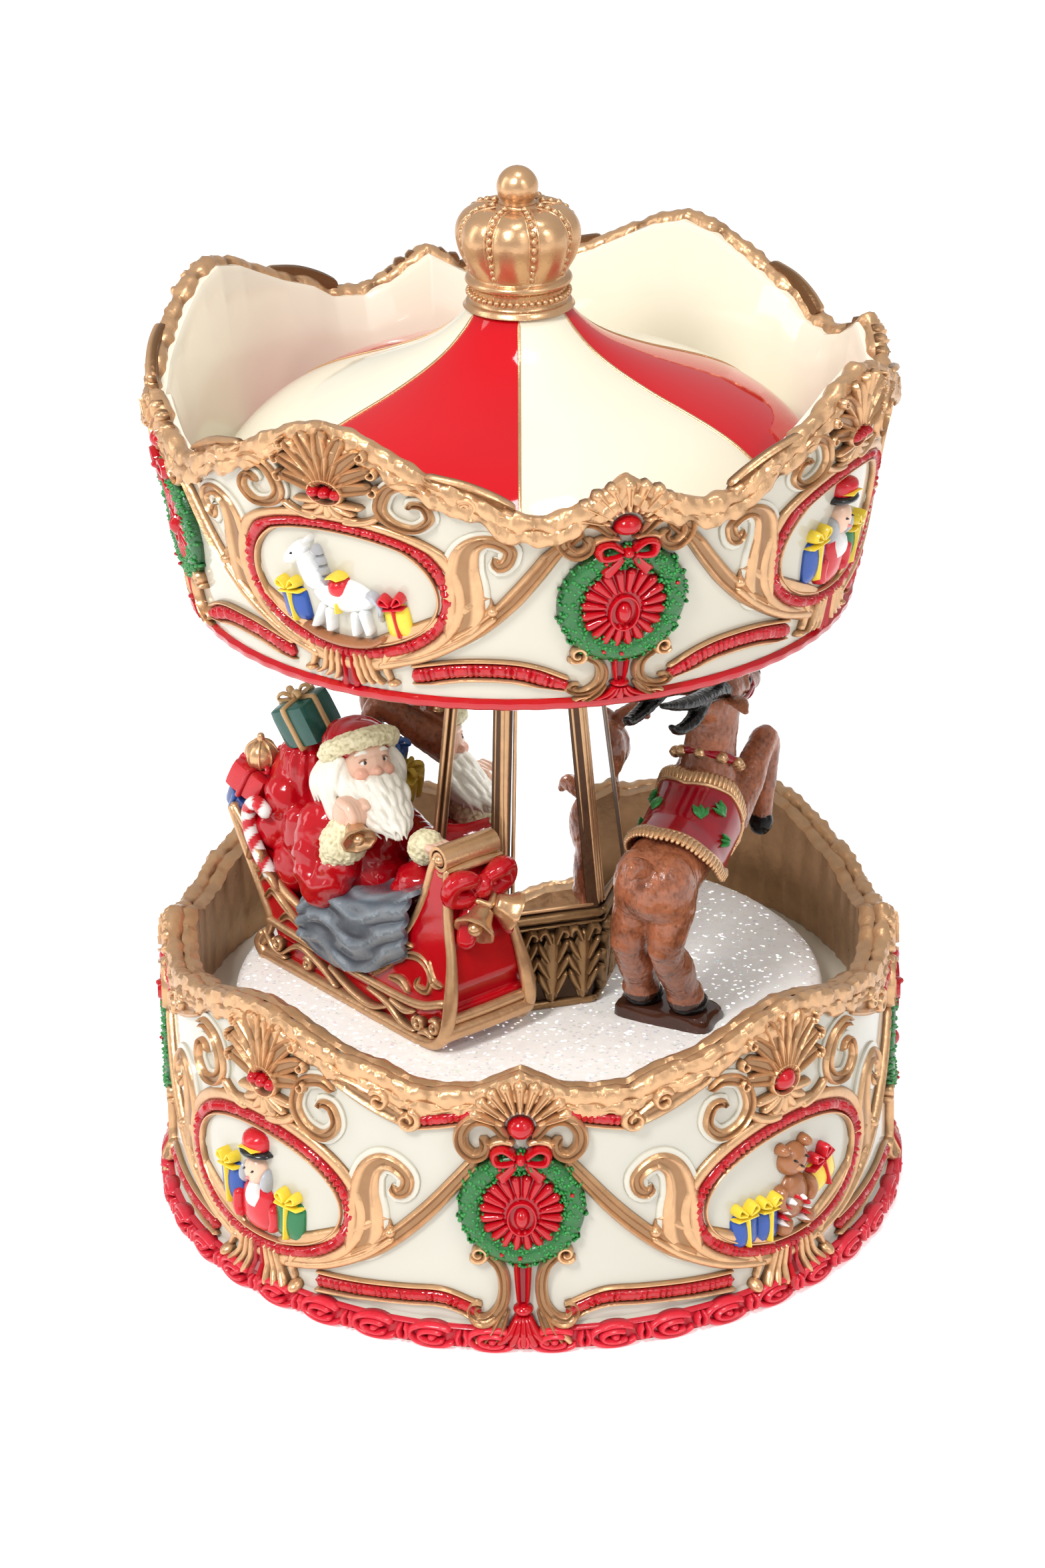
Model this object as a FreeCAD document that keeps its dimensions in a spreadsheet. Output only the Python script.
"""Carousel music box: a resin drum with a wind-up movement that turns a snow platform,
a mirrored column, a tent canopy, a sleigh and two reindeer.  Millimetres, +Z up, the
origin at the centre of the bottom ring, the front of the base facing -Y."""
import FreeCAD, Part
import math
import os
import re
import Sketcher
from FreeCAD import Placement, Rotation, Vector

doc = FreeCAD.newDocument("CarouselMusicBox")
sheet = doc.addObject("Spreadsheet::Sheet", "Sizes")

SIZES = {
    # base drum
    "base_radius": 75, "border_height": 4.5, "drum_foot_radius": 72.5, "drum_top_radius": 71.5,
    "rim_low": 53, "rim_shell": 57.5, "rim_crest": 62, "wall_inner": 67, "skirt_inner": 66.5,
    "cavity_inner": 63.5, "deck_bottom": 33, "deck_top": 36, "motif_half_width": 10,
    # bottom cover and bedplate
    "cover_bottom": 10, "cover_top": 12, "cover_radius": 66, "cover_hole": 6,
    "boss_circle": 60.5, "boss_radius": 4, "bed_top": 13.5,
    # winding
    "arbor_radius": 2, "key_bottom": 1.5, "key_top": 9, "key_span": 25, "running_fit": 0.05,
    # great wheel and output
    "flange_bottom": 15, "flange_top": 16.2, "great_radius": 17, "barrel_radius": 12.5,
    "barrel_wall": 1, "barrel_top": 28, "crown_pitch_radius": 15, "crown_teeth": 30,
    "crown_tooth_height": 1.6, "spindle_radius": 3, "hub_bottom": 37.2, "hub_radius": 14,
    # gear train, all arbors parallel to X
    "train_height": 22.2, "pinion_teeth": 10, "gear_module": 0.5, "wheel_teeth": 30,
    "small_teeth": 12, "fly_teeth": 10, "centre_slack": 0.1, "arbor_fine": 0.8,
    "drum_radius": 6.2, "drum_start": 20, "drum_end": 44, "pin_height": 0.5, "comb_notes": 18,
    # platform
    "platform_radius": 59.35, "platform_bottom": 40, "platform_top": 42.8,
    # column
    "plinth_foot_radius": 18, "plinth_top_radius": 20.6, "plinth_top": 65,
    "column_foot_radius": 20.3, "column_top_radius": 12.7, "column_top": 132,
    "mirror_border": 2.3, "mirror_thickness": 1.2, "rod_radius": 1.6,
    # canopy
    "canopy_bottom": 128.6, "canopy_foot_radius": 62.9, "canopy_top_radius": 72.3,
    "canopy_crest": 183, "canopy_shell": 174.5, "canopy_low": 168, "canopy_wall": 4,
    "ceiling_thickness": 2, "roof_apex": 184.5, "roof_thickness": 1.6,
    # crown
    "crown_band_radius": 9.7, "crown_radius": 11.7, "crown_top": 204.3, "ball_radius": 3.95,
    # places of the figures on the platform, in the carousel's own frame
    "carousel_turn": 14.4, "sleigh_x": -27.7, "sleigh_y": 1.2, "sleigh_heading": -66.4,
    "sleigh_half_width": 10.7, "deer_x": 22, "deer_y": -25, "deer_heading": 47.2,
    "deer_step": 120,
}
for row, (alias, number) in enumerate(SIZES.items(), start=1):
    sheet.set(f"A{row}", alias)
    sheet.set(f"B{row}", str(number))
    sheet.setAlias(f"B{row}", alias)
doc.recompute()


def value(expression):
    """The sheet works out an expression of its aliases."""
    sheet.set("D1", f"={expression}")
    sheet.recompute()
    return float(sheet.get("D1"))


def bound(expression):
    """The same expression as a reference to the sheet."""
    return re.sub(r"[a-z]+(?:_[a-z0-9]+)+", r"Sizes.\g<0>", str(expression))


nodes = []
Z_AXIS = Vector(0, 0, 1)
TURN = Placement(Vector(), Rotation(Z_AXIS, value("carousel_turn")))
FIXED = Placement()


def node(thing, label, place=FIXED):
    """Name a finished piece and set it in its place."""
    thing.Label = label
    thing.Placement = place.multiply(thing.Placement)
    nodes.append(thing)
    return thing


def feature(label, shape, place=FIXED):
    """A piece whose shape comes straight from solid functions."""
    thing = doc.addObject("Part::Feature", label)
    thing.Shape = shape
    return node(thing, label, place)


# ---------------------------------------------------------------- sketch helpers
def origin_item(body, role):
    return [item for item in body.Origin.OriginFeatures if item.Role == role][0]


def outline_sketch(body, name, plane, points, offset=FIXED):
    """A closed outline; every corner is held by two driving distances."""
    sketch = body.newObject("Sketcher::SketchObject", name)
    sketch.AttachmentSupport = [(origin_item(body, plane), "")]
    sketch.MapMode = "FlatFace"
    sketch.AttachmentOffset = offset
    corners = [Vector(value(across), value(up), 0) for across, up in points]
    count = len(corners)
    for index in range(count):
        sketch.addGeometry(Part.LineSegment(corners[index], corners[(index + 1) % count]))
    for index in range(count):
        sketch.addConstraint(Sketcher.Constraint("Coincident", index, 2, (index + 1) % count, 1))
    for index, corner in enumerate(points):
        for kind, expression, axis in (("DistanceX", corner[0], -2), ("DistanceY", corner[1], -1)):
            hold_corner(sketch, index, kind, expression, axis)
    return sketch


def hold_corner(sketch, index, kind, expression, axis):
    number = value(expression)
    if abs(number) < 1e-9:
        sketch.addConstraint(Sketcher.Constraint("PointOnObject", index, 1, axis))
        return
    ends = (-1, 1, index, 1) if number > 0 else (index, 1, -1, 1)
    place = sketch.addConstraint(Sketcher.Constraint(kind, *ends, abs(number)))
    text = bound(expression) if number > 0 else f"-({bound(expression)})"
    sketch.setExpression(f"Constraints[{place}]", text)


def revolved(label, points):
    """A body turned about Z from an outline of (radius, height)."""
    body = doc.addObject("PartDesign::Body", label)
    sketch = outline_sketch(body, f"{label}_outline", "XZ_Plane", points)
    turned = body.newObject("PartDesign::Revolution", f"{label}_turned")
    turned.Profile = sketch
    turned.ReferenceAxis = (sketch, ["V_Axis"])
    turned.Angle = 360
    sketch.Visibility = False
    doc.recompute()
    return body


def padded(label, points, length, plane="XY_Plane", offset=FIXED, midplane=False, taper="0"):
    """A body padded from an outline."""
    body = doc.addObject("PartDesign::Body", label)
    sketch = outline_sketch(body, f"{label}_outline", plane, points, offset)
    pad = body.newObject("PartDesign::Pad", f"{label}_pad")
    pad.Profile = sketch
    pad.setExpression("Length", bound(length))
    pad.Midplane = midplane
    pad.setExpression("TaperAngle", bound(taper))
    sketch.Visibility = False
    doc.recompute()
    return body


def pocket(body, name, points, plane, offset=FIXED, length=None, midplane=False, flip=False, copies=1):
    """Cut an outline out of a body, once or in a ring about Z, and see that it cut."""
    before = body.Shape.Volume
    sketch = outline_sketch(body, f"{name}_outline", plane, points, offset)
    cutting = body.newObject("PartDesign::Pocket", name)
    cutting.Profile = sketch
    cutting.Type = "ThroughAll" if length is None else "Length"
    if length is not None:
        cutting.setExpression("Length", bound(length))
    cutting.Midplane = midplane
    cutting.Reversed = flip
    sketch.Visibility = False
    doc.recompute()
    if copies > 1:
        ring(body, cutting, copies)
    if body.Shape.Volume > before - 1e-3:
        raise RuntimeError(f"{name} cuts nothing")
    return cutting


def ring(body, original, copies):
    pattern = body.newObject("PartDesign::PolarPattern", f"{original.Name}_ring")
    pattern.Originals = [original]
    pattern.Axis = (origin_item(body, "Z_Axis"), [""])
    pattern.Angle = 360
    pattern.Occurrences = copies
    body.Tip = pattern
    doc.recompute()
    return pattern


def rectangle(left, right, low, high):
    return [(left, low), (right, low), (right, high), (left, high)]


def polygon(sides, radius, start=0):
    """Corners of a regular outline as expressions of its radius."""
    turns = [start + 360 * step / sides for step in range(sides)]
    return [(f"({radius}) * {math.cos(math.radians(a)):.6f}",
             f"({radius}) * {math.sin(math.radians(a)):.6f}")
            for a in turns]


# ---------------------------------------------------------------- primitive helpers
def cylinder(name, radius, height, x="0", y="0", z="0", along="Z"):
    """A bound cylinder that starts at x, y, z and runs along one axis."""
    thing = doc.addObject("Part::Cylinder", name)
    thing.setExpression("Radius", bound(radius))
    thing.setExpression("Height", bound(height))
    thing.Placement = Placement(Vector(), Rotation(Z_AXIS, Vector(*(float(along == a) for a in "XYZ"))))
    for axis, expression in zip("xyz", (x, y, z)):
        thing.setExpression(f"Placement.Base.{axis}", bound(expression))
    return thing


def box(name, length, width, height, x="0", y="0", z="0"):
    """A bound box whose lowest corner is at x, y, z."""
    thing = doc.addObject("Part::Box", name)
    for side, expression in zip(("Length", "Width", "Height"), (length, width, height)):
        thing.setExpression(side, bound(expression))
    for axis, expression in zip("xyz", (x, y, z)):
        thing.setExpression(f"Placement.Base.{axis}", bound(expression))
    return thing


def fused(name, pieces):
    thing = doc.addObject("Part::MultiFuse", name)
    thing.Shapes = pieces
    return thing


def drilled(name, blank, tools):
    """A blank less its holes."""
    thing = doc.addObject("Part::Cut", name)
    thing.Base = blank
    thing.Tool = tools[0] if len(tools) == 1 else fused(f"{name}_holes", tools)
    return thing


def joined(shapes):
    return shapes[0].fuse(shapes[1:]).removeSplitter()


def limb(*stations):
    """A jointed limb: a ball at every station (x, y, z, radius) and a cone between neighbours."""
    pieces = [Part.makeSphere(station[3], Vector(*station[:3])) for station in stations]
    for near, far in zip(stations, stations[1:]):
        run = Vector(*far[:3]) - Vector(*near[:3])
        pieces.append(Part.makeCone(near[3] * 0.995, far[3] * 0.99, run.Length, Vector(*near[:3]), run))
    return joined(pieces)


def screw_group(label, places, head_radius, head, shank_radius, shank, place=FIXED):
    """Identical screws: each a head and a shank between two heights."""
    screws = []
    for x, y in places:
        cap = Part.makeCylinder(head_radius, head[1] - head[0], Vector(x, y, head[0]))
        stem = Part.makeCylinder(shank_radius, shank[1] - shank[0], Vector(x, y, shank[0]))
        screws.append(cap.fuse(stem))
    return feature(label, Part.makeCompound(screws), place)


def around(radius, angles):
    return [(radius * math.cos(math.radians(a)), radius * math.sin(math.radians(a))) for a in angles]


# ---------------------------------------------------------------- base drum
RIM_OVER = "rim_crest + 4"
base_shell = revolved("base_blank", [
    ("skirt_inner", "0"), ("base_radius", "0"), ("base_radius", "border_height"),
    ("drum_foot_radius", "border_height + 2.5"), ("drum_top_radius", "rim_crest"),
    ("wall_inner", "rim_crest"), ("wall_inner", "deck_top"),
    ("spindle_radius + 2", "deck_top"), ("spindle_radius + 2", "deck_bottom"),
    ("cavity_inner", "deck_bottom"), ("cavity_inner", "cover_top"), ("skirt_inner", "cover_top")])
HALF_GAP = Placement(Vector(), Rotation(Vector(0, 1, 0), 22.5))
pocket(base_shell, "rim_gap", rectangle("-1.8 * motif_half_width", "1.8 * motif_half_width", "rim_low",
                                         RIM_OVER),
       "XZ_Plane", HALF_GAP, flip=True, copies=8)
pocket(base_shell, "rim_shell_top", rectangle("-1.1 * motif_half_width", "1.1 * motif_half_width",
                                               "rim_shell", RIM_OVER),
       "XZ_Plane", flip=True, copies=4)
BOSS_ANGLES = (60, 180, 300)
boss_places = around(value("boss_circle"), BOSS_ANGLES)
bosses = [cylinder(f"boss_{n}", "boss_radius", "deck_bottom - cover_top", str(x), str(y), "cover_top")
          for n, (x, y) in enumerate(boss_places)]
boss_holes = [cylinder(f"boss_hole_{n}", "1.3", "9", str(x), str(y), "cover_top")
              for n, (x, y) in enumerate(boss_places)]
node(drilled("base_cut", fused("base_with_bosses", [base_shell] + bosses), boss_holes), "base_shell")

BED_HOLES = [(-12, -22), (-12, 22), (46, -22), (46, 22)]
cover_tools = [cylinder("key_opening", "cover_hole", "cover_top", z="0")]
cover_tools += [cylinder(f"cover_hole_{n}", "1.3", "cover_top", str(x), str(y))
                for n, (x, y) in enumerate(boss_places)]
cover_tools += [cylinder(f"bed_hole_{n}", "1.25", "cover_top", str(x), str(y))
                for n, (x, y) in enumerate(BED_HOLES)]
cover_blank = cylinder("cover_blank", "cover_radius", "cover_top - cover_bottom", z="cover_bottom")
node(drilled("cover_cut", cover_blank, cover_tools), "bottom_cover")
screw_group("cover_screws", boss_places, 3, (8.2, 10), 1.25, (10, 20))
screw_group("movement_screws", BED_HOLES, 2.4, (8.6, 10), 1.2, (10, 13.5))

bed_tools = [cylinder("arbor_hole", "arbor_radius + running_fit", "bed_top")]
bed_tools += [cylinder(f"thread_hole_{n}", "1.25", "bed_top", str(x), str(y))
              for n, (x, y) in enumerate(BED_HOLES)]
bed_blank = box("bed_blank", "72", "54", "bed_top - cover_top", "-17", "-27", "cover_top")
node(drilled("bed_cut", bed_blank, bed_tools), "movement_bedplate")

node(revolved("turntable_bush", [
    ("spindle_radius + running_fit", "deck_bottom"), ("spindle_radius + 2", "deck_bottom"),
    ("spindle_radius + 2", "deck_top"), ("spindle_radius + 4", "deck_top"),
    ("spindle_radius + 4", "deck_top + 1"), ("spindle_radius + running_fit", "deck_top + 1")]),
    "turntable_bush")

# ---------------------------------------------------------------- winding key and arbor
key_hub = cylinder("key_hub", "2.2 * arbor_radius", "key_top - key_bottom", z="key_bottom")
key_wing = box("key_wing", "key_span", "2.6", "key_top - key_bottom - 1.5", "-key_span / 2", "-1.3",
    "key_bottom")
key_socket = cylinder("key_socket", "arbor_radius", "key_top - key_bottom - 1.5", z="key_bottom + 1.5")
node(drilled("key_cut", fused("key_blank", [key_hub, key_wing]), [key_socket]), "winding_key")
node(cylinder("winding_arbor", "arbor_radius", "barrel_top - key_bottom - 3", z="key_bottom + 1.6"),
    "winding_arbor")


# ---------------------------------------------------------------- great wheel, spring and output spindle
def crown_wheel():
    """Spring barrel with a flange whose teeth stand up round its rim."""
    flange_top = value("flange_top")
    flange_height = flange_top - value("flange_bottom")
    body = Part.makeCylinder(value("great_radius"), flange_height, Vector(0, 0, value("flange_bottom")))
    drum = Part.makeCylinder(value("barrel_radius"), value("barrel_top") - flange_top,
        Vector(0, 0, flange_top))
    hollow = Part.makeCylinder(value("barrel_radius - barrel_wall"), 20, Vector(0, 0, flange_top))
    hole = Part.makeCylinder(value("arbor_radius + running_fit"), 20)
    teeth = []
    count = int(value("crown_teeth"))
    inner = value("crown_pitch_radius") - 1.2
    top = value("crown_tooth_height")
    profile = Part.Face(Part.makePolygon([
        Vector(inner, -0.5, flange_top - 0.2), Vector(inner, 0.5, flange_top - 0.2),
        Vector(inner, 0.3, flange_top + top), Vector(inner, -0.3, flange_top + top),
        Vector(inner, -0.5, flange_top - 0.2)]))
    tooth = profile.extrude(Vector(2.6, 0, 0))
    for step in range(count):
        teeth.append(tooth.rotated(Vector(), Z_AXIS, 360 * (step + 0.5) / count))
    return body.fuse([drum] + teeth).cut([hollow, hole]).removeSplitter()


def spiral_strip(inner, outer, turns, thickness, low, high):
    """Flat clock spring wound as a spiral of short facets."""
    steps = int(turns * 24)
    rise = (outer - inner) / steps
    inside = []
    outside = []
    for step in range(steps + 1):
        angle = 2 * math.pi * step / 24
        radius = inner + rise * step
        heading = Vector(math.cos(angle), math.sin(angle), 0)
        inside.append(heading * radius + Vector(0, 0, low))
        outside.append(heading * (radius + thickness) + Vector(0, 0, low))
    wire = Part.makePolygon(inside + outside[::-1] + [inside[0]])
    return Part.Face(wire).extrude(Vector(0, 0, high - low))


feature("great_wheel", crown_wheel())
feature("mainspring", spiral_strip(3.4, 10.6, 6, 0.4, 17, 27))
node(revolved("output_spindle", [
    ("0", "barrel_top"), ("barrel_radius", "barrel_top"), ("barrel_radius", "barrel_top + 1"),
    ("spindle_radius", "barrel_top + 1"), ("spindle_radius", "platform_bottom"),
    ("0", "platform_bottom")]), "output_spindle")

# ---------------------------------------------------------------- turntable hub and snow platform
HUB_SCREWS = around(9.5, (90, 210, 330))
hub_tools = [cylinder("spindle_hole", "spindle_radius", "platform_bottom")]
hub_tools += [cylinder(f"hub_hole_{n}", "1.05", "platform_bottom", str(x), str(y))
              for n, (x, y) in enumerate(HUB_SCREWS)]
hub_blank = cylinder("hub_blank", "hub_radius", "platform_bottom - hub_bottom", z="hub_bottom")
node(drilled("hub_cut", hub_blank, hub_tools), "turntable_hub", TURN)
screw_group("hub_screws", HUB_SCREWS, 1.0, (37.3, 40), 1.0, (40, 42), TURN)
platform_blank = revolved("platform_blank", [
    ("rod_radius", "platform_bottom"), ("platform_radius", "platform_bottom"),
    ("platform_radius", "platform_top - 1.2"), ("platform_radius - 2.5", "platform_top"),
    ("rod_radius", "platform_top")])
platform_tools = [cylinder(f"platform_hole_{n}", "1.05", "2", str(x), str(y), "platform_bottom")
                  for n, (x, y) in enumerate(HUB_SCREWS)]
node(drilled("platform_cut", platform_blank, platform_tools), "snow_platform", TURN)
node(cylinder("centre_rod", "rod_radius - 0.05", "crown_band_radius + roof_apex - platform_bottom - 4",
              z="platform_bottom"), "centre_rod", TURN)

# ---------------------------------------------------------------- mirrored column
HEX_APOTHEM = math.cos(math.radians(30))
plinth_lean = (f"atan((plinth_top_radius - plinth_foot_radius) * {HEX_APOTHEM:.6f}"
               " / (plinth_top - platform_top))")
plinth = padded("column_plinth", polygon(6, "plinth_foot_radius"), "plinth_top - platform_top",
                offset=Placement(Vector(0, 0, value("platform_top")), Rotation()), taper=plinth_lean)
pocket(plinth, "plinth_bore", polygon(12, "rod_radius * 1.1"), "XY_Plane", flip=True)
node(plinth, "column_plinth", TURN)

column_lean = (f"atan((column_top_radius - column_foot_radius) * {HEX_APOTHEM:.6f}"
               " / (column_top - plinth_top))")
column = padded("mirror_column", polygon(6, "column_foot_radius"), "column_top - plinth_top",
                offset=Placement(Vector(0, 0, value("plinth_top")), Rotation()), taper=column_lean)
pocket(column, "column_bore", polygon(12, "rod_radius * 1.1"), "XY_Plane", flip=True)
lean_angle = value(f"{column_lean} * 1")
panel_height = value("column_top - plinth_top") / math.cos(math.radians(lean_angle))
PANEL_PLANE = Placement(Vector(0, value("plinth_top"), HEX_APOTHEM * value("column_foot_radius")),
                        Rotation(Vector(1, 0, 0), lean_angle))


def panel_outline(ease):
    """Long tapering glass between two border strips; ease widens it for the recess."""
    foot = f"column_foot_radius / 2 - mirror_border + {ease}"
    head = f"column_top_radius / 2 - mirror_border + {ease}"
    low = f"0.6 - {ease}"
    high = f"{panel_height:.4f} - 0.6 + {ease}"
    return [(f"-({foot})", low), (foot, low), (head, high), (f"-({head})", high)]


pocket(column, "mirror_recess", panel_outline(0.1), "XZ_Plane", PANEL_PLANE, "mirror_thickness + 0.05",
    copies=6)
node(column, "mirror_column", TURN)
for step in range(6):
    panel = padded(f"mirror_panel_{step + 1}", panel_outline(0), "mirror_thickness", "XZ_Plane",
        PANEL_PLANE)
    panel.Tip.Reversed = True
    node(panel, f"mirror_panel_{step + 1}", TURN.multiply(Placement(Vector(), Rotation(Z_AXIS, 60 * step))))

# ---------------------------------------------------------------- canopy
CEILING_LOW = "canopy_bottom + 3.4"
canopy_band = revolved("canopy_band", [
    ("canopy_foot_radius - canopy_wall - 2", "canopy_bottom"), ("canopy_foot_radius", "canopy_bottom"),
    ("canopy_top_radius", "canopy_crest"), ("canopy_top_radius - canopy_wall", "canopy_crest"),
    ("canopy_foot_radius - canopy_wall + 0.6", CEILING_LOW),
    ("canopy_foot_radius - canopy_wall - 2", CEILING_LOW)])
CANOPY_OVER = "canopy_crest + 4"
pocket(canopy_band, "canopy_gap", rectangle("-1.8 * motif_half_width", "1.8 * motif_half_width",
                                            "canopy_low", CANOPY_OVER),
       "XZ_Plane", HALF_GAP, flip=True, copies=8)
pocket(canopy_band, "canopy_shell_top",
       rectangle("-1.1 * motif_half_width", "1.1 * motif_half_width", "canopy_shell", CANOPY_OVER),
       "XZ_Plane", flip=True, copies=4)
node(canopy_band, "canopy_band", TURN)
node(revolved("canopy_ceiling", [
    ("rod_radius", CEILING_LOW), ("canopy_foot_radius - canopy_wall", CEILING_LOW),
    ("canopy_foot_radius - canopy_wall", f"{CEILING_LOW} + ceiling_thickness"),
    ("rod_radius", f"{CEILING_LOW} + ceiling_thickness")]), "canopy_ceiling", TURN)
ROOF_OUTSIDE = [(9.9, 0), (15, -5.7), (22, -9.7), (32, -13.9), (44, -18.9), (52, -24), (57.5, -30.5),
    (60.6, -38)]
roof_points = [("rod_radius", "roof_apex")]
roof_points += [(str(radius), f"roof_apex + ({drop})") for radius, drop in ROOF_OUTSIDE]
roof_points += [(f"{radius} - roof_thickness * 0.7", f"roof_apex + ({drop}) - roof_thickness * 0.8")
                for radius, drop in ROOF_OUTSIDE[::-1]]
roof_points += [("rod_radius", "roof_apex - roof_thickness * 0.8")]
node(revolved("tent_roof", roof_points), "tent_roof", TURN)

# ---------------------------------------------------------------- crown and ball
node(revolved("crown_finial", [
    ("rod_radius", "roof_apex"), ("crown_band_radius", "roof_apex"), ("crown_band_radius", "roof_apex + 6"),
    ("crown_band_radius - 1", "roof_apex + 7"), ("crown_radius - 0.6", "crown_top - 10"),
    ("crown_radius", "crown_top - 7"), ("crown_radius - 1", "crown_top - 3.4"),
    ("crown_radius * 0.6", "crown_top - 0.8"),
    ("3", "crown_top"), ("0", "crown_top"), ("0", "roof_apex + 6"), ("rod_radius", "roof_apex + 6")]),
    "crown_finial", TURN)
ball = doc.addObject("Part::Sphere", "finial_ball")
ball.setExpression("Radius", bound("ball_radius"))
ball.Angle1 = -60
ball.setExpression("Placement.Base.z", bound("crown_top + ball_radius * sin(60)"))
node(ball, "finial_ball", TURN)

# ---------------------------------------------------------------- sleigh, in its own frame: forward is +X
SLEIGH_STAND = Placement(Vector(value("sleigh_x"), value("sleigh_y"), 0),
    Rotation(Z_AXIS, value("sleigh_heading")))
SLEIGH = TURN.multiply(SLEIGH_STAND)
COLUMN_SPOT = SLEIGH_STAND.inverse().multVec(Vector())


def side_profile(points, half_width, middle=0.0):
    """A prism across the sleigh from a side outline of (forward, height)."""
    corners = [Vector(x, middle - half_width, z) for x, z in points]
    return Part.Face(Part.makePolygon(corners + [corners[0]])).extrude(Vector(0, 2 * half_width, 0))


def texts(points):
    return [(str(across), str(up)) for across, up in points]


SIDE = [(-26, 49), (30, 49), (36.5, 53), (38, 58), (36, 64), (33, 71), (31, 78), (30, 82), (26, 82),
    (25, 75),
        (22, 66), (14, 58), (0, 55.5), (-16, 57), (-29, 62), (-41.2, 72.4)]
TUB = [(-44, 80), (-38, 72), (-24, 53), (20, 53), (28, 60), (29, 66), (27.5, 74), (26, 84)]
sleigh_block = padded("sleigh_block", texts(SIDE), "2 * sleigh_half_width", "XZ_Plane", midplane=True)
tub_block = padded("tub_block", texts(TUB), "2 * sleigh_half_width - 4", "XZ_Plane", midplane=True)
column_place = (str(COLUMN_SPOT.x), str(COLUMN_SPOT.y), "platform_top")
# the inner side is hollowed to sit round the column's plinth, with a wall between plinth and tub
column_guard = cylinder("column_guard", "plinth_top_radius + 2.3", "60", *column_place)
column_notch = cylinder("column_notch", "plinth_top_radius + 0.3", "60", *column_place)
tub = drilled("tub_round_column", tub_block, [column_guard])
node(drilled("sleigh_cut", sleigh_block, [tub, column_notch]), "sleigh_body", SLEIGH)


def clear_of_column(shape, gap, top=90):
    """Take away what would reach into the column's plinth."""
    radius = value("plinth_top_radius") + gap
    low = value("platform_top") - 1
    return shape.cut(Part.makeCylinder(radius, top - low, Vector(COLUMN_SPOT.x, COLUMN_SPOT.y, low)))


RUNNER = [(-31.7, 42.85), (33, 42.85), (38, 47), (39, 52), (37.2, 52), (32, 48.95), (-26, 48.95)]
half_width = value("sleigh_half_width")
feature("sleigh_runners", Part.makeCompound([
    clear_of_column(side_profile(RUNNER, 1.2, side * (half_width - 1.2)), 0.3) for side in (-1, 1)]),
        SLEIGH)
feature("dash_scroll", Part.makeCylinder(2.6, 13, Vector(28, -6.5, 84.7), Vector(0, 1, 0)), SLEIGH)
feature("dash_bow", limb((35, -6, 76, 2), (35, 0, 76, 2.4), (35, 6, 76, 2)), SLEIGH)
feature("dash_bells", Part.makeCompound([
    Part.makeSphere(2.8, Vector(38, side * 3, 69)) for side in (-1, 1)]), SLEIGH)

torso = joined([Part.makeCone(8.3, 7.2, 28, Vector(-10, 0, 53.2)),
    Part.makeSphere(7.2, Vector(-10, 0, 81.2)),
                Part.makeBox(25.8, 16.6, 9, Vector(-6, -8.3, 53.2))])
head = joined([Part.makeSphere(7.2, Vector(-7, 0, 91)), Part.makeCone(7.2, 1, 10, Vector(-8, 0, 93),
    Vector(-4, 0, 8)),
               limb((-2, 0, 86, 5.2), (3, 0, 79, 3))])
arms = [limb((-12, side * 7.5, 79, 3.6), (-9, side * 9.6, 69, 3.5), (-1, side * 8.5, 80, 2.8))
        for side in (-1, 1)]
feature("sleigh_rider", clear_of_column(joined([torso, head] + arms), 2.5, 68), SLEIGH)
drape = Part.Face(Part.makePolygon([
    Vector(3, -12.2, 48), Vector(3, -10.9, 48), Vector(3, -10.9, 62.4), Vector(3, 8, 62.4),
        Vector(3, 8, 66),
    Vector(3, -9, 67), Vector(3, -12.2, 64), Vector(3, -12.2, 48)])).extrude(Vector(14, 0, 0))
feature("lap_blanket", clear_of_column(drape, 2.5), SLEIGH)
feature("hand_horn", Part.makeCone(1.2, 2.8, 4.5, Vector(2.2, -9, 81.5), Vector(1, 0, -0.2)), SLEIGH)
SACK = [(-24.5, 55.5), (-34.8, 70.5), (-35.2, 78), (-30, 86), (-19.2, 86), (-18.9, 55.5)]
feature("gift_sack", side_profile(SACK, 8.2), SLEIGH)
feature("green_gift", Part.makeBox(12, 12, 13, Vector(-31, -6, 86.1)), SLEIGH)
feature("gift_parcels", Part.makeCompound([
    Part.makeBox(6, 8, 7, Vector(-42.5, -9.5, 73.4)), Part.makeBox(6, 8, 7, Vector(-42.5, 1, 73.4))]),
        SLEIGH)
feature("gold_ball", Part.makeSphere(3.4, Vector(-36.6, -4.5, 84)), SLEIGH)
feature("candy_cane", limb((-25, -9.7, 63.5, 1.1), (-29, -9.7, 71, 1.1), (-33, -9.7, 69.5, 1.1)), SLEIGH)


# ---------------------------------------------------------------- reindeer, facing +X over their plates
def deer_shape():
    """Body, neck and head, two standing hind legs and two folded forelegs."""
    parts = [limb((-11, 0, 80, 9.2), (14, 0, 83, 8.4), (19, 0, 98, 5), (20, 0, 101.5, 5.2),
        (35, 0, 101.5, 3.1))]
    for side in (-1, 1):
        parts.append(limb((-12, side * 4.6, 75, 5.4), (-11, side * 4.8, 64, 3.6), (-3, side * 4.9, 51, 3)))
        parts.append(Part.makeCylinder(3.4, 5.2, Vector(-2.4, side * 4.9, 46.0)))
        parts.append(limb((17, side * 5.4, 80, 3.6), (31, side * 6, 90, 2.7), (30, side * 6, 73, 2)))
    return joined(parts)


def antler_shape():
    """Two black beams swept back, each with one tine."""
    beams = []
    for side in (-1, 1):
        beam = limb((17, side * 3.4, 108.2, 1.3), (2, side * 7, 111, 1.25), (-12, side * 8, 115, 1))
        beams.append(beam.fuse(limb((6, side * 6.2, 110.3, 1.1), (-5, side * 8, 107, 0.9))))
    return Part.makeCompound(beams)


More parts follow.
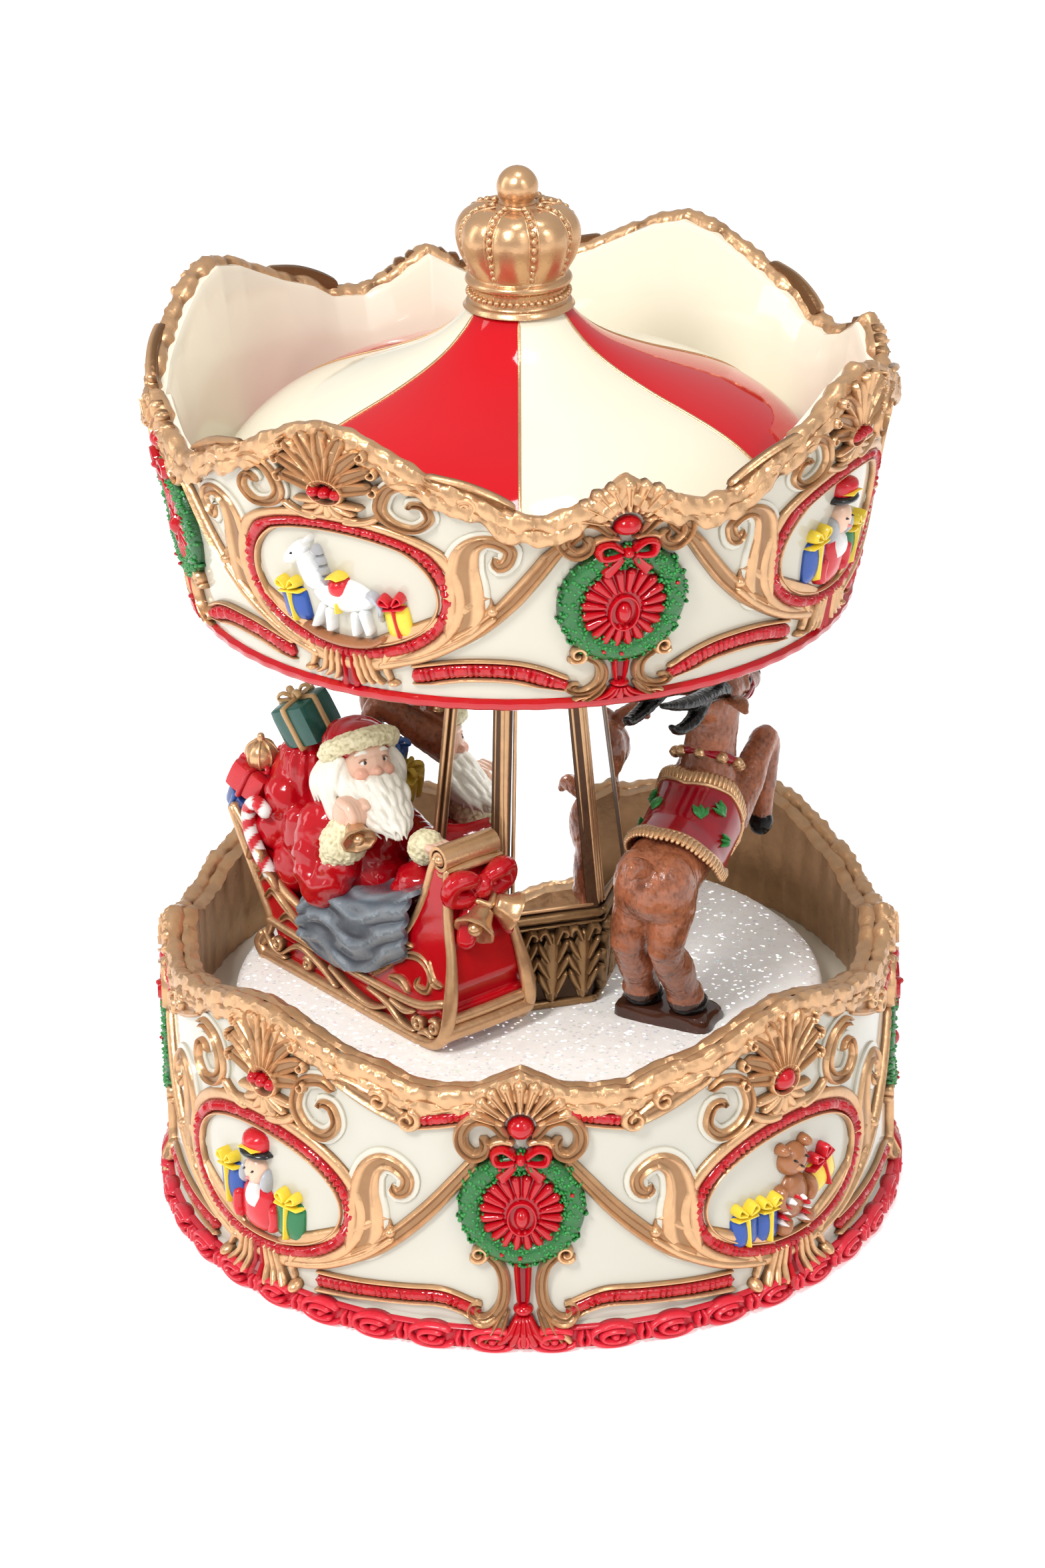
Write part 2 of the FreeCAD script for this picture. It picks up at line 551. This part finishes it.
for count in range(2):
    swing = Placement(Vector(), Rotation(Z_AXIS, count * value("deer_step")))
    stand = TURN.multiply(swing).multiply(Placement(Vector(value("deer_x"), value("deer_y"), 0),
                                                    Rotation(Z_AXIS, value("deer_heading"))))
    feature(f"reindeer_{count + 1}", deer_shape(), stand)
    feature(f"antlers_{count + 1}", antler_shape(), stand)
    plate = Part.makeBox(10, 20, 3.1, Vector(-6, -10, value("platform_top") + 0.05))
    feature(f"hoof_plate_{count + 1}", plate, stand)


# ---------------------------------------------------------------- comb, music cylinder and governor
def spur_wheel(teeth, pitch_radius, addendum, dedendum, width, bore, centre, phase=0.0, share=0.36):
    """Spur wheel about an arbor parallel to X; phase turns a tooth away from +Y."""
    x, y, z = centre
    pitch = 360 / teeth
    corners = []
    for step in range(teeth):
        middle = phase + step * pitch
        for radius, part in ((pitch_radius - dedendum, -share * 0.75),
                             (pitch_radius + addendum, -share * 0.3),
                             (pitch_radius + addendum, share * 0.3),
                             (pitch_radius - dedendum, share * 0.75)):
            angle = math.radians(middle + part * pitch)
            corners.append(Vector(x, y + radius * math.cos(angle), z + radius * math.sin(angle)))
    wheel = Part.Face(Part.makePolygon(corners + [corners[0]])).extrude(Vector(width, 0, 0))
    return wheel.cut(Part.makeCylinder(bore, width, Vector(x, y, z), Vector(1, 0, 0)))


TRAIN = value("train_height")
MODULE = value("gear_module")
wheel_pitch = MODULE * value("wheel_teeth") / 2
governor_y = wheel_pitch + MODULE * value("small_teeth") / 2 + value("centre_slack")
fly_y = governor_y + wheel_pitch + MODULE * value("fly_teeth") / 2 + value("centre_slack")
crown_pitch = value("crown_pitch_radius") * value("pinion_teeth") / value("crown_teeth")
fine = value("arbor_fine")
drum_start = value("drum_start")
drum_end = value("drum_end")
drum_radius = value("drum_radius")


def pinned_drum():
    """Thin brass tube with end discs and three pins in each track."""
    length = drum_end - drum_start
    tube = Part.makeCylinder(drum_radius, length, Vector(drum_start, 0, TRAIN), Vector(1, 0, 0))
    core = Part.makeCylinder(drum_radius - 0.7, length - 2, Vector(drum_start + 1, 0, TRAIN),
                             Vector(1, 0, 0))
    bore = Part.makeCylinder(1.0, length, Vector(drum_start, 0, TRAIN), Vector(1, 0, 0))
    pins = []
    notes = int(value("comb_notes"))
    for note in range(notes):
        x = drum_start + length * (note + 0.5) / notes
        for step in range(3):
            angle = math.radians(120 * step + 47 * note)
            heading = Vector(0, math.cos(angle), math.sin(angle))
            pins.append(Part.makeCylinder(0.22, 0.3 + value("pin_height"),
                Vector(x, 0, TRAIN) + heading * (drum_radius - 0.3),
                                          heading))
    return tube.cut([core, bore]).fuse(pins)


feature("music_cylinder", pinned_drum())
feature("cylinder_arbor", Part.makeCylinder(1.0, 38, Vector(13.7, 0, TRAIN), Vector(1, 0, 0)))
feature("cylinder_pinion", spur_wheel(10, crown_pitch, 0.6, 0.9, 2.4, 1.0, (13.8, 0, TRAIN), -90, 0.34))
feature("cylinder_gear", spur_wheel(30, wheel_pitch, 0.45, 0.65, 1.4, 1.0, (46, 0, TRAIN), 0))
governor_pinion = spur_wheel(12, MODULE * 6, 0.45, 0.65, 1.4, fine - 0.2, (46, governor_y, TRAIN), 180 - 15)
feature("governor_arbor", joined([
    Part.makeCylinder(fine, 18.6, Vector(33.3, governor_y, TRAIN), Vector(1, 0, 0)), governor_pinion]))
feature("governor_wheel", spur_wheel(30, wheel_pitch, 0.45, 0.65, 1.2, fine, (48.4, governor_y, TRAIN), 0))
fly_pinion = spur_wheel(10, MODULE * 5, 0.45, 0.6, 1.2, fine - 0.2, (48.4, fly_y, TRAIN), 180 - 18)
feature("governor_fly", joined([
    Part.makeCylinder(fine, 18.6, Vector(33.3, fly_y, TRAIN), Vector(1, 0, 0)), fly_pinion,
    Part.makeBox(8, 10, 0.6, Vector(37, fly_y - 5, TRAIN - 0.3))]))


def bearing_plate(name, x, y_low, y_high, holes):
    """Upright plate on the bedplate with one bearing hole for each arbor."""
    blank = box(f"{name}_blank", "1.2", str(y_high - y_low), "13.3", str(x), str(y_low), "bed_top")
    tools = [cylinder(f"{name}_hole_{n}", str(radius), "1.2", str(x), str(y), "train_height", "X")
             for n, (y, radius) in enumerate(holes)]
    return node(drilled(f"{name}_cut", blank, tools), name)


fit = value("running_fit")
bearing_plate("cylinder_bearing", 17.7, -6, 6, [(0, 1.0 + fit)])
bearing_plate("governor_bracket", 33.4, governor_y - 2.2, 26,
    [(governor_y, fine + fit), (fly_y, fine + fit)])
bearing_plate("train_bracket", 50.4, -6, 26, [(0, 1.0 + fit), (governor_y, fine + fit), (fly_y,
    fine + fit)])

COMB_SCREWS = [(24, -21), (32, -21), (40, -21)]
block_tools = [cylinder(f"block_hole_{n}", "0.9", "6", str(x), str(y), "train_height - 5.2")
               for n, (x, y) in enumerate(COMB_SCREWS)]
block_blank = box("block_blank", "26", "8", "train_height - bed_top - 0.2", "19", "-25", "bed_top")
node(drilled("block_cut", block_blank, block_tools), "comb_block")
comb = padded("comb_blank", rectangle("drum_start", "drum_end", "-25", "-(drum_radius + pin_height + 0.4)"),
    "0.6",
              offset=Placement(Vector(0, 0, TRAIN - 0.2), Rotation()))
SLOT_PITCH = "(drum_end - drum_start) / comb_notes"
slot = pocket(comb, "comb_slot", rectangle(f"drum_start + {SLOT_PITCH} - 0.13",
    f"drum_start + {SLOT_PITCH} + 0.13",
                                           "-17", "-(drum_radius - 1)"), "XY_Plane", flip=True)
slots = comb.newObject("PartDesign::LinearPattern", "comb_slots")
slots.Originals = [slot]
slots.Direction = (origin_item(comb, "X_Axis"), [""])
slots.setExpression("Length", bound(f"{SLOT_PITCH} * (comb_notes - 2)"))
slots.setExpression("Occurrences", bound("comb_notes - 1"))
comb.Tip = slots
comb_tools = [cylinder(f"comb_hole_{n}", "0.9", "2", str(x), str(y), "train_height - 1")
              for n, (x, y) in enumerate(COMB_SCREWS)]
node(drilled("comb_cut", comb, comb_tools), "comb")
screw_group("comb_screws", COMB_SCREWS, 1.8, (TRAIN + 0.4, TRAIN + 1.5), 0.88, (TRAIN - 5, TRAIN + 0.4))

# ---------------------------------------------------------------- checks and export
doc.recompute()
for thing in doc.Objects:
    if "Invalid" in thing.State or "Error" in thing.State:
        raise RuntimeError(f"{thing.Label} failed: {thing.State}")
os.makedirs("parts", exist_ok=True)
for thing in nodes:
    shape = thing.Shape
    if shape.isNull() or not shape.isValid() or not shape.Solids:
        raise RuntimeError(f"{thing.Label} has no valid solid")
    shape.exportStep(os.path.join("parts", f"{thing.Label}.step"))
    print(f"{thing.Label:20s} {len(shape.Solids):3d} solids {shape.Volume:12.1f} mm3")
